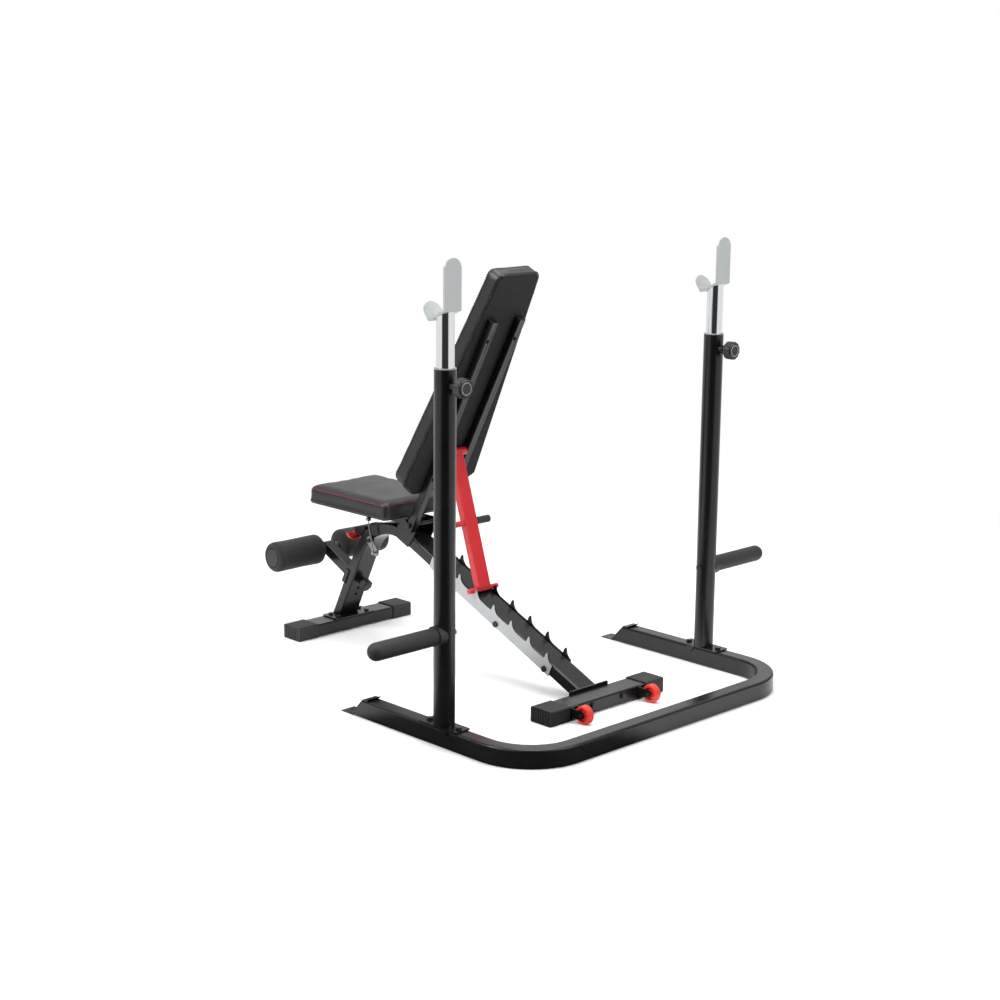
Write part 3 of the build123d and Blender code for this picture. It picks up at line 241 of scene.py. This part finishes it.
def rounded(outline, radius, steps=7):
    """The outline with each corner cut by an arc of about the radius."""
    out = []
    count = len(outline)
    for i in range(count):
        before, here, after = (Vector(outline[j % count]) for j in (i - 1, i, i + 1))
        into, away = (before - here), (after - here)
        turn = into.angle(away)
        if turn > math.radians(165):
            out.append(here)
            continue
        reach = min(radius / math.tan(turn / 2), into.length * 0.46, away.length * 0.46)
        a, b = here + into.normalized() * reach, here + away.normalized() * reach
        for k in range(steps):
            t = k / (steps - 1)
            out.append((1 - t) ** 2 * a + 2 * t * (1 - t) * here + t * t * b)
    return out


def evenly(outline, spacing):
    """Points at an even spacing round a closed outline."""
    count = len(outline)
    lengths = [(outline[(i + 1) % count] - outline[i]).length for i in range(count)]
    total = sum(lengths)
    wanted = max(8, round(total / spacing))
    out, i, done = [], 0, 0.0
    for k in range(wanted):
        target = total * k / wanted
        while done + lengths[i] < target:
            done += lengths[i]
            i += 1
        out.append(outline[i].lerp(outline[(i + 1) % count], (target - done) / max(lengths[i], 1e-9)))
    return out


def inset(outline, amount):
    """The outline moved inwards by amount."""
    count = len(outline)
    out = []
    for i in range(count):
        along = (outline[(i + 1) % count] - outline[i - 1]).normalized()
        out.append(outline[i] + Vector((-along.y, along.x)) * amount)
    return out


def tube(name, points, radius, mat, sides=8):
    """A closed round bead through the points."""
    count = len(points)
    verts, faces = [], []
    for i in range(count):
        along = (points[(i + 1) % count] - points[i - 1]).normalized()
        side = along.orthogonal().normalized() if i == 0 else (last - along * last.dot(along)).normalized()
        last = side
        up = along.cross(side)
        for k in range(sides):
            a = 2 * math.pi * k / sides
            verts.append(points[i] + (side * math.cos(a) + up * math.sin(a)) * radius)
    first, final = verts[0], verts[(count - 1) * sides:]
    shift = min(range(sides), key=lambda k: (final[k] - first).length)
    for i in range(count):
        for k in range(sides):
            j = (k + 1) % sides
            if i + 1 < count:
                faces.append((i * sides + k, i * sides + j, (i + 1) * sides + j, (i + 1) * sides + k))
            else:
                base = i * sides
                faces.append((base + (k + shift) % sides, base + (j + shift) % sides, j, k))
    return new_piece(name, mesh_from(name, verts, faces), mat)


def stitches(name, points, normals, mat):
    """Short raised threads along a closed line of surface points."""
    verts, faces = [], []
    run = [0.0]
    count = len(points)
    for i in range(count):
        run.append(run[-1] + (points[(i + 1) % count] - points[i]).length)
    pitch = run[-1] / round(run[-1] / (STITCH_LENGTH + STITCH_GAP))

    def at(distance):
        distance %= run[-1]
        i = next(k for k in range(count) if run[k + 1] >= distance)
        t = (distance - run[i]) / max(run[i + 1] - run[i], 1e-9)
        j = (i + 1) % count
        return points[i].lerp(points[j], t), normals[i].lerp(normals[j], t).normalized()

    start = 0.0
    while start < run[-1] - pitch / 2:
        base = len(verts)
        rings = ((0.0, 0.25, -0.5), (0.18, 0.9, 0.35), (0.5, 1.0, 0.75), (0.82, 0.9, 0.35), (1.0, 0.25, -0.5))
        for share, fat, lift in rings:
            place = start + share * STITCH_LENGTH
            spot, normal = at(place)
            ahead = (at(place + 0.001)[0] - spot).normalized()
            side = ahead.cross(normal)
            for k in range(6):
                a = 2 * math.pi * k / 6
                out = side * math.cos(a) + normal * math.sin(a)
                verts.append(spot + (normal * lift + out * fat) * STITCH_RADIUS)
        for r in range(len(rings) - 1):
            for k in range(6):
                j = (k + 1) % 6
                faces.append((base + r * 6 + k, base + r * 6 + j, base + r * 6 + 6 + j, base + r * 6 + 6 + k))
        faces.append(tuple(base + k for k in range(6)))
        end = base + 6 * (len(rings) - 1)
        faces.append(tuple(end + k for k in reversed(range(6))))
        start += pitch
    return new_piece(name, mesh_from(name, verts, faces), mat)


# ---------------------------------------------------------------- upholstery
class Pad:
    """A stuffed pad made from a CAD pad's outline: u and v across it, n from its board to its front."""

    def __init__(self, node, u, v, n, corner, body):
        self.node, self.body = node, body
        self.u, self.v, self.n = u, v, n
        points = [vert.co for vert in NODES[node].data.vertices]
        self.low = min(p.dot(n) for p in points)
        self.thick = max(p.dot(n) for p in points) - self.low
        flat = hull([(p.dot(u), p.dot(v)) for p in points])
        self.outline = evenly(rounded([Vector(p) for p in flat], corner), OUTLINE_SPACING)

    def at(self, point, height):
        return self.u * point.x + self.v * point.y + self.n * (self.low + height)

    def build(self, cap, voxel):
        """Side rings and two caps, remeshed and blown up by cloth pressure, flat where it meets the board."""
        thick = self.thick
        # distance in from the outline, and height over the board's rear face
        profile = ((0.010, 0.0), (0.0035, 0.001), (0.0015, 0.006), (0.0015, thick * 0.5),
                   (0.0015, thick - 0.016), (0.004, thick - 0.009), (0.010, thick - 0.004),
                   (0.020, thick - 0.002))
        verts, faces = [], []
        count = len(self.outline)
        for step, (amount, height) in enumerate(profile):
            verts += [self.at(p, height) for p in inset(self.outline, amount)]
            if step:
                base = (step - 1) * count
                for i in range(count):
                    j = (i + 1) % count
                    faces.append((base + i, base + j, base + count + j, base + count + i))
        faces.append(tuple(range(count)))
        faces.append(tuple(range(count * (len(profile) - 1), count * len(profile))))
        form = mesh_from(self.node + "_form", verts, faces)
        piece = new_piece(self.node + "_upholstery", form, "black_vinyl")
        remesh = piece.modifiers.new("remesh", "REMESH")
        remesh.mode = "VOXEL"
        remesh.voxel_size = voxel
        applied(piece)
        self.inflate(piece, cap)
        smooth = piece.modifiers.new("relax", "SMOOTH")
        smooth.factor = 0.5
        smooth.iterations = 4
        applied(piece)
        self.settle(piece)
        piece.modifiers.new("finer", "SUBSURF").levels = 1
        piece.modifiers["finer"].render_levels = 1
        applied(piece)
        piece.data.materials.clear()
        piece.data.materials.append(MATERIALS["black_vinyl"])
        piece.data.shade_smooth()
        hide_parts(self.node)
        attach(piece, self.body)
        self.tree = BVHTree.FromPolygons([v.co.copy() for v in piece.data.vertices],
                                         [tuple(p.vertices) for p in piece.data.polygons])

    def inflate(self, piece, cap):
        """Cloth pressure, with each point's move limited to cap and none beside the board."""
        start = [v.co.copy() for v in piece.data.vertices]
        cloth = piece.modifiers.new("inflate", "CLOTH")
        cloth.settings.quality = 4
        cloth.settings.use_pressure = True
        cloth.settings.uniform_pressure_force = 4
        cloth.settings.tension_stiffness = 25
        cloth.settings.compression_stiffness = 25
        cloth.settings.effector_weights.gravity = 0
        cloth.collision_settings.use_collision = False
        cloth.point_cache.frame_end = CLOTH_FRAMES
        scene = bpy.context.scene
        for number in range(1, CLOTH_FRAMES + 1):
            scene.frame_set(number)
        applied(piece)
        scene.frame_set(1)
        for vert, old in zip(piece.data.vertices, start):
            move = vert.co - old
            if move.length > cap:
                move *= cap / move.length
            height = old.dot(self.n) - self.low
            hold = min(1.0, max(0.0, (height - 0.004) / 0.012))
            vert.co = old + move * hold

    def settle(self, piece):
        """Draws the rear of the pad in behind its board's face, leaving the rim at the edge."""
        near, rim, rise, margin, slope = 0.008, 0.0005, 0.0035, 0.006, 0.6
        for vert in piece.data.vertices:
            height = vert.co.dot(self.n) - self.low
            if height < near:
                spot = Vector((vert.co.dot(self.u), vert.co.dot(self.v)))
                edge = min((spot - p).length for p in self.outline)
                wanted = rim + min(rise, max(0.0, (edge - margin) * slope))
                if height < wanted:
                    vert.co += self.n * (wanted - height)

    def side_line(self, height, sink):
        """Points and normals on the side wall at a height, found by looking in from outside."""
        spots, normals = [], []
        count = len(self.outline)
        for i, p in enumerate(self.outline):
            along = (self.outline[(i + 1) % count] - self.outline[i - 1]).normalized()
            out = self.u * along.y - self.v * along.x
            origin = self.at(p, height) + out * 0.05
            hit, normal, _, _ = self.tree.ray_cast(origin, -out)
            if hit is not None:
                spots.append(hit - normal * sink)
                normals.append(normal)
        return spots, normals

    def top_line(self, amount, sink):
        """Points and normals on the front, a distance in from the edge."""
        spots, normals = [], []
        for p in inset(self.outline, amount):
            origin = self.at(p, self.thick + 0.05)
            hit, normal, _, _ = self.tree.ray_cast(origin, -self.n)
            if hit is not None:
                spots.append(hit - normal * sink)
                normals.append(normal)
        return spots, normals

    def piping(self, name, height, mat, radius):
        """A bead round the side wall at a height."""
        line, _ = self.side_line(height, 0.0004)
        bead = tube(f"{self.node}_{name}", line, radius, mat)
        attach(bead, self.body)

    def seam(self, name, line, mat):
        """A row of stitches along a line of points and normals."""
        row = stitches(f"{self.node}_{name}", *line, mat)
        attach(row, self.body)


def upholstery():
    across = Vector((1, 0, 0))
    up_back = Vector((0, math.cos(BACK_ANGLE), math.sin(BACK_ANGLE)))
    front = across.cross(up_back)
    back = Pad("back_pad", across, up_back, front, 0.030, "backrest")
    back.build(0.0038, 0.0065)
    back.piping("front_piping", back.thick - 0.0125, "black_vinyl", 0.0015)
    back.piping("rear_piping", 0.0085, "black_vinyl", 0.0022)
    back.seam("side_stitches", back.side_line(back.thick - 0.0175, 0.0), "black_thread")
    back.seam("front_stitches", back.top_line(0.012, 0.0), "black_thread")
    seat = Pad("seat_pad", across, Vector((0, 1, 0)), Vector((0, 0, 1)), 0.030, "seat")
    seat.build(0.0055, 0.006)
    seat.piping("top_seam", seat.thick - 0.0105, "red_thread", 0.0012)
    seat.piping("rear_piping", 0.0075, "black_vinyl", 0.0018)
    seat.seam("side_stitches", seat.side_line(seat.thick - 0.0160, 0.0), "black_thread")


# ---------------------------------------------------------------- foam rollers
def foam_roller(side):
    """Soft lathed sleeve: rolled ends, a faint waist, and an end dish round the cap."""
    node = f"{side}_foam_roller"
    low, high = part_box(node)
    centre = (low + high) / 2
    radius = (high.z - low.z) / 2
    length = high.x - low.x
    sign = 1 if side == "left" else -1
    inner = low.x if sign > 0 else high.x
    bore, dish, lip, depth = 0.0128, 0.0300, 0.0325, 0.009
    profile = [(bore, 0.0004), (0.020, 0.0), (radius - 0.013, 0.0003), (radius - 0.006, 0.0022),
               (radius - 0.0018, 0.0070), (radius - 0.0002, 0.014)]
    steps = 22
    for k in range(1, steps):
        share = k / steps
        profile.append((radius - 0.0011 * math.sin(math.pi * share), 0.014 + (length - 0.028) * share))
    profile += [(radius - 0.0002, length - 0.014), (radius - 0.0018, length - 0.0070),
                (radius - 0.006, length - 0.0022), (radius - 0.013, length - 0.0003), (lip, length),
                (dish + 0.0003, length - 0.0015), (dish, length - depth), (bore, length - depth)]
    sides = 96
    verts, faces = [], []
    for r, t in profile:
        for k in range(sides):
            a = 2 * math.pi * k / sides
            soft = 1 + 0.004 * math.sin(3 * a + 40 * t) * math.sin(math.pi * t / length)
            rr = r * soft if r > 0.035 else r
            verts.append(Vector((inner + sign * t, centre.y + rr * math.cos(a), centre.z + rr * math.sin(a))))
    rows = len(profile)
    for i in range(rows):
        nxt = (i + 1) % rows
        for k in range(sides):
            j = (k + 1) % sides
            faces.append((i * sides + k, i * sides + j, nxt * sides + j, nxt * sides + k))
    piece = new_piece(f"{side}_roller_sleeve", mesh_from(f"{side}_roller_sleeve", verts, faces), "black_foam")
    piece.data.shade_smooth()
    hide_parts(node)
    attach(piece, f"{side}_roller")


def knob_rings():
    """A plain raised ring in paler plastic on each column knob's end face."""
    steps, share, bead = 48, 0.3, 0.0012
    for side in ("left", "right"):
        low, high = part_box(f"{side}_pin_knob")
        centre = (low + high) / 2
        radius = (high.x - low.x) * share
        spots = []
        for k in range(steps):
            a = 2 * math.pi * k / steps
            spots.append(Vector((centre.x + radius * math.cos(a), high.y, centre.z + radius * math.sin(a))))
        ring = tube(f"{side}_knob_ring", spots, bead, "grey_plastic")
        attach(ring, f"{side}_pin")


# ---------------------------------------------------------------- studio
def dark_sector(tree, direction):
    """Full light in most directions, little in the sector round DARK_WALL."""
    unit = tree.nodes.new("ShaderNodeVectorMath")
    unit.operation = "NORMALIZE"
    tree.links.new(direction, unit.inputs[0])
    facing = tree.nodes.new("ShaderNodeVectorMath")
    facing.operation = "DOT_PRODUCT"
    facing.inputs[1].default_value = DARK_WALL
    tree.links.new(unit.outputs["Vector"], facing.inputs[0])
    flag = tree.nodes.new("ShaderNodeMapRange")
    flag.interpolation_type = "SMOOTHSTEP"
    flag.inputs["From Min"].default_value = 0.74
    flag.inputs["From Max"].default_value = 0.86
    flag.inputs["To Min"].default_value = 1.0
    flag.inputs["To Max"].default_value = 0.04
    tree.links.new(facing.outputs["Value"], flag.inputs["Value"])
    return flag.outputs["Result"]


def pale_floor_material():
    """Pale matt floor, plain white to the eye far from the object, and dark in one sector's reflections."""
    pale = bpy.data.materials.new("pale_floor")
    pale.use_nodes = True
    tree = pale.node_tree
    shader = tree.nodes["Principled BSDF"]
    shader.inputs["Roughness"].default_value = 0.7
    shader.inputs["Specular IOR Level"].default_value = 0.2
    coords = tree.nodes.new("ShaderNodeTexCoord")
    path = tree.nodes.new("ShaderNodeLightPath")
    sector = dark_sector(tree, coords.outputs["Object"])
    plain = tree.nodes.new("ShaderNodeMath")
    plain.operation = "SUBTRACT"
    plain.inputs[0].default_value = 1.0
    tree.links.new(path.outputs["Is Glossy Ray"], plain.inputs[1])
    level = tree.nodes.new("ShaderNodeMath")
    level.operation = "MAXIMUM"
    tree.links.new(plain.outputs["Value"], level.inputs[0])
    tree.links.new(sector, level.inputs[1])
    tone = tree.nodes.new("ShaderNodeMath")
    tone.operation = "MULTIPLY"
    tone.inputs[1].default_value = 0.90
    tree.links.new(level.outputs["Value"], tone.inputs[0])
    tree.links.new(tone.outputs["Value"], shader.inputs["Base Color"])
    far = tree.nodes.new("ShaderNodeVectorMath")
    far.operation = "LENGTH"
    link(tree, coords, "Object", far, 0)
    fade = tree.nodes.new("ShaderNodeMapRange")
    fade.interpolation_type = "SMOOTHSTEP"
    fade.inputs["From Min"].default_value = 1.3
    fade.inputs["From Max"].default_value = 3.2
    tree.links.new(far.outputs["Value"], fade.inputs["Value"])
    white = tree.nodes.new("ShaderNodeEmission")
    glow = tree.nodes.new("ShaderNodeMath")
    glow.operation = "MAXIMUM"
    tree.links.new(path.outputs["Is Camera Ray"], glow.inputs[0])
    tree.links.new(sector, glow.inputs[1])
    tree.links.new(glow.outputs["Value"], white.inputs["Strength"])
    mix = tree.nodes.new("ShaderNodeMixShader")
    tree.links.new(fade.outputs["Result"], mix.inputs["Fac"])
    tree.links.new(shader.outputs["BSDF"], mix.inputs[1])
    tree.links.new(white.outputs["Emission"], mix.inputs[2])
    tree.links.new(mix.outputs["Shader"], tree.nodes["Material Output"].inputs["Surface"])
    return pale


def studio_world():
    """White to the eye; as light, a bright ceiling, a dim horizon, three windows and one dark sector."""
    world = bpy.data.worlds.new("studio_world")
    world.use_nodes = True
    tree = world.node_tree
    seen = tree.nodes["Background"]
    seen.inputs["Color"].default_value = (1, 1, 1, 1)
    seen.inputs["Strength"].default_value = 1.0
    room = tree.nodes.new("ShaderNodeBackground")
    coords = tree.nodes.new("ShaderNodeTexCoord")
    split = tree.nodes.new("ShaderNodeSeparateXYZ")
    tree.links.new(coords.outputs["Generated"], split.inputs["Vector"])
    ceiling = tree.nodes.new("ShaderNodeMapRange")
    ceiling.interpolation_type = "SMOOTHSTEP"
    ceiling.inputs["From Min"].default_value = 0.15
    ceiling.inputs["From Max"].default_value = 0.75
    ceiling.inputs["To Min"].default_value = ROOM_DIM
    ceiling.inputs["To Max"].default_value = ROOM_BRIGHT
    tree.links.new(split.outputs["Z"], ceiling.inputs["Value"])
    total = ceiling.outputs["Result"]
    for axis, start, end, gain in (("X", 0.80, 0.93, 1.3), ("Y", 0.86, 0.97, 0.9)):
        window = tree.nodes.new("ShaderNodeMapRange")
        window.interpolation_type = "SMOOTHSTEP"
        window.inputs["From Min"].default_value = start
        window.inputs["From Max"].default_value = end
        window.inputs["To Max"].default_value = gain
        tree.links.new(split.outputs[axis], window.inputs["Value"])
        add = tree.nodes.new("ShaderNodeMath")
        tree.links.new(total, add.inputs[0])
        tree.links.new(window.outputs["Result"], add.inputs[1])
        total = add.outputs["Value"]
    across = tree.nodes.new("ShaderNodeVectorMath")
    across.operation = "DOT_PRODUCT"
    across.inputs[1].default_value = [-part for part in DARK_WALL]
    tree.links.new(coords.outputs["Generated"], across.inputs[0])
    window = tree.nodes.new("ShaderNodeMapRange")
    window.interpolation_type = "SMOOTHSTEP"
    window.inputs["From Min"].default_value = 0.78
    window.inputs["From Max"].default_value = 0.96
    window.inputs["To Max"].default_value = 0.8
    tree.links.new(across.outputs["Value"], window.inputs["Value"])
    lit = tree.nodes.new("ShaderNodeMath")
    tree.links.new(total, lit.inputs[0])
    tree.links.new(window.outputs["Result"], lit.inputs[1])
    total = lit.outputs["Value"]
    shade = tree.nodes.new("ShaderNodeMath")
    shade.operation = "MULTIPLY"
    tree.links.new(total, shade.inputs[0])
    tree.links.new(dark_sector(tree, coords.outputs["Generated"]), shade.inputs[1])
    tree.links.new(shade.outputs["Value"], room.inputs["Strength"])
    path = tree.nodes.new("ShaderNodeLightPath")
    mix = tree.nodes.new("ShaderNodeMixShader")
    tree.links.new(path.outputs["Is Camera Ray"], mix.inputs["Fac"])
    tree.links.new(room.outputs["Background"], mix.inputs[1])
    tree.links.new(seen.outputs["Background"], mix.inputs[2])
    tree.links.new(mix.outputs["Shader"], tree.nodes["World Output"].inputs["Surface"])
    return world


def studio():
    low, high = cad_box
    scene = bpy.context.scene
    reach = 40
    corners = [(-reach, -reach, 0), (reach, -reach, 0), (reach, reach, 0), (-reach, reach, 0)]
    floor = new_piece("studio_floor", mesh_from("studio_floor", corners, [(0, 1, 2, 3)]), "black_coat")
    floor.data.materials[0] = pale_floor_material()
    floor.location.z = low.z - 0.0003
    scene.world = studio_world()
    centre = (low + high) / 2
    for name, place, size, power in (
        ("key_softbox", Vector((3.0, -1.4, 3.6)), 1.8, 120),
        ("fill_softbox", Vector((-1.5, 4.6, 2.6)), 2.0, 55),
        ("top_softbox", Vector((-0.4, 0.4, 4.2)), 2.6, 130),
    ):
        data = bpy.data.lights.new(name, "AREA")
        data.size = size
        data.energy = power
        lamp = bpy.data.objects.new(name, data)
        lamp.location = place
        lamp.rotation_euler = (centre - place).to_track_quat("-Z", "Y").to_euler()
        scene.collection.objects.link(lamp)


def camera():
    """A long lens behind the rack's left corner, above shoulder height."""
    azimuth, elevation, roll = math.radians(135.635), math.radians(12.412), math.radians(0.535)
    data = bpy.data.cameras.new("camera")
    data.sensor_width = 36
    data.lens = 67.78
    view = bpy.data.objects.new("camera", data)
    back = Vector((math.sin(azimuth) * math.cos(elevation), -math.cos(azimuth) * math.cos(elevation),
                   math.sin(elevation)))
    right = Vector((0, 0, 1)).cross(back).normalized()
    up = back.cross(right)
    tilted_right = right * math.cos(roll) + up * math.sin(roll)
    tilted_up = up * math.cos(roll) - right * math.sin(roll)
    turn = Matrix((tilted_right, tilted_up, back)).transposed()
    view.matrix_world = Matrix.Translation((3.8871, 4.0595, 1.7729)) @ turn.to_4x4()
    bpy.context.scene.collection.objects.link(view)
    bpy.context.scene.camera = view
    bpy.context.scene.view_settings.view_transform = "Standard"


dress_cad_nodes()
upholstery()
for end in ("left", "right"):
    foam_roller(end)
knob_rings()
studio()
camera()
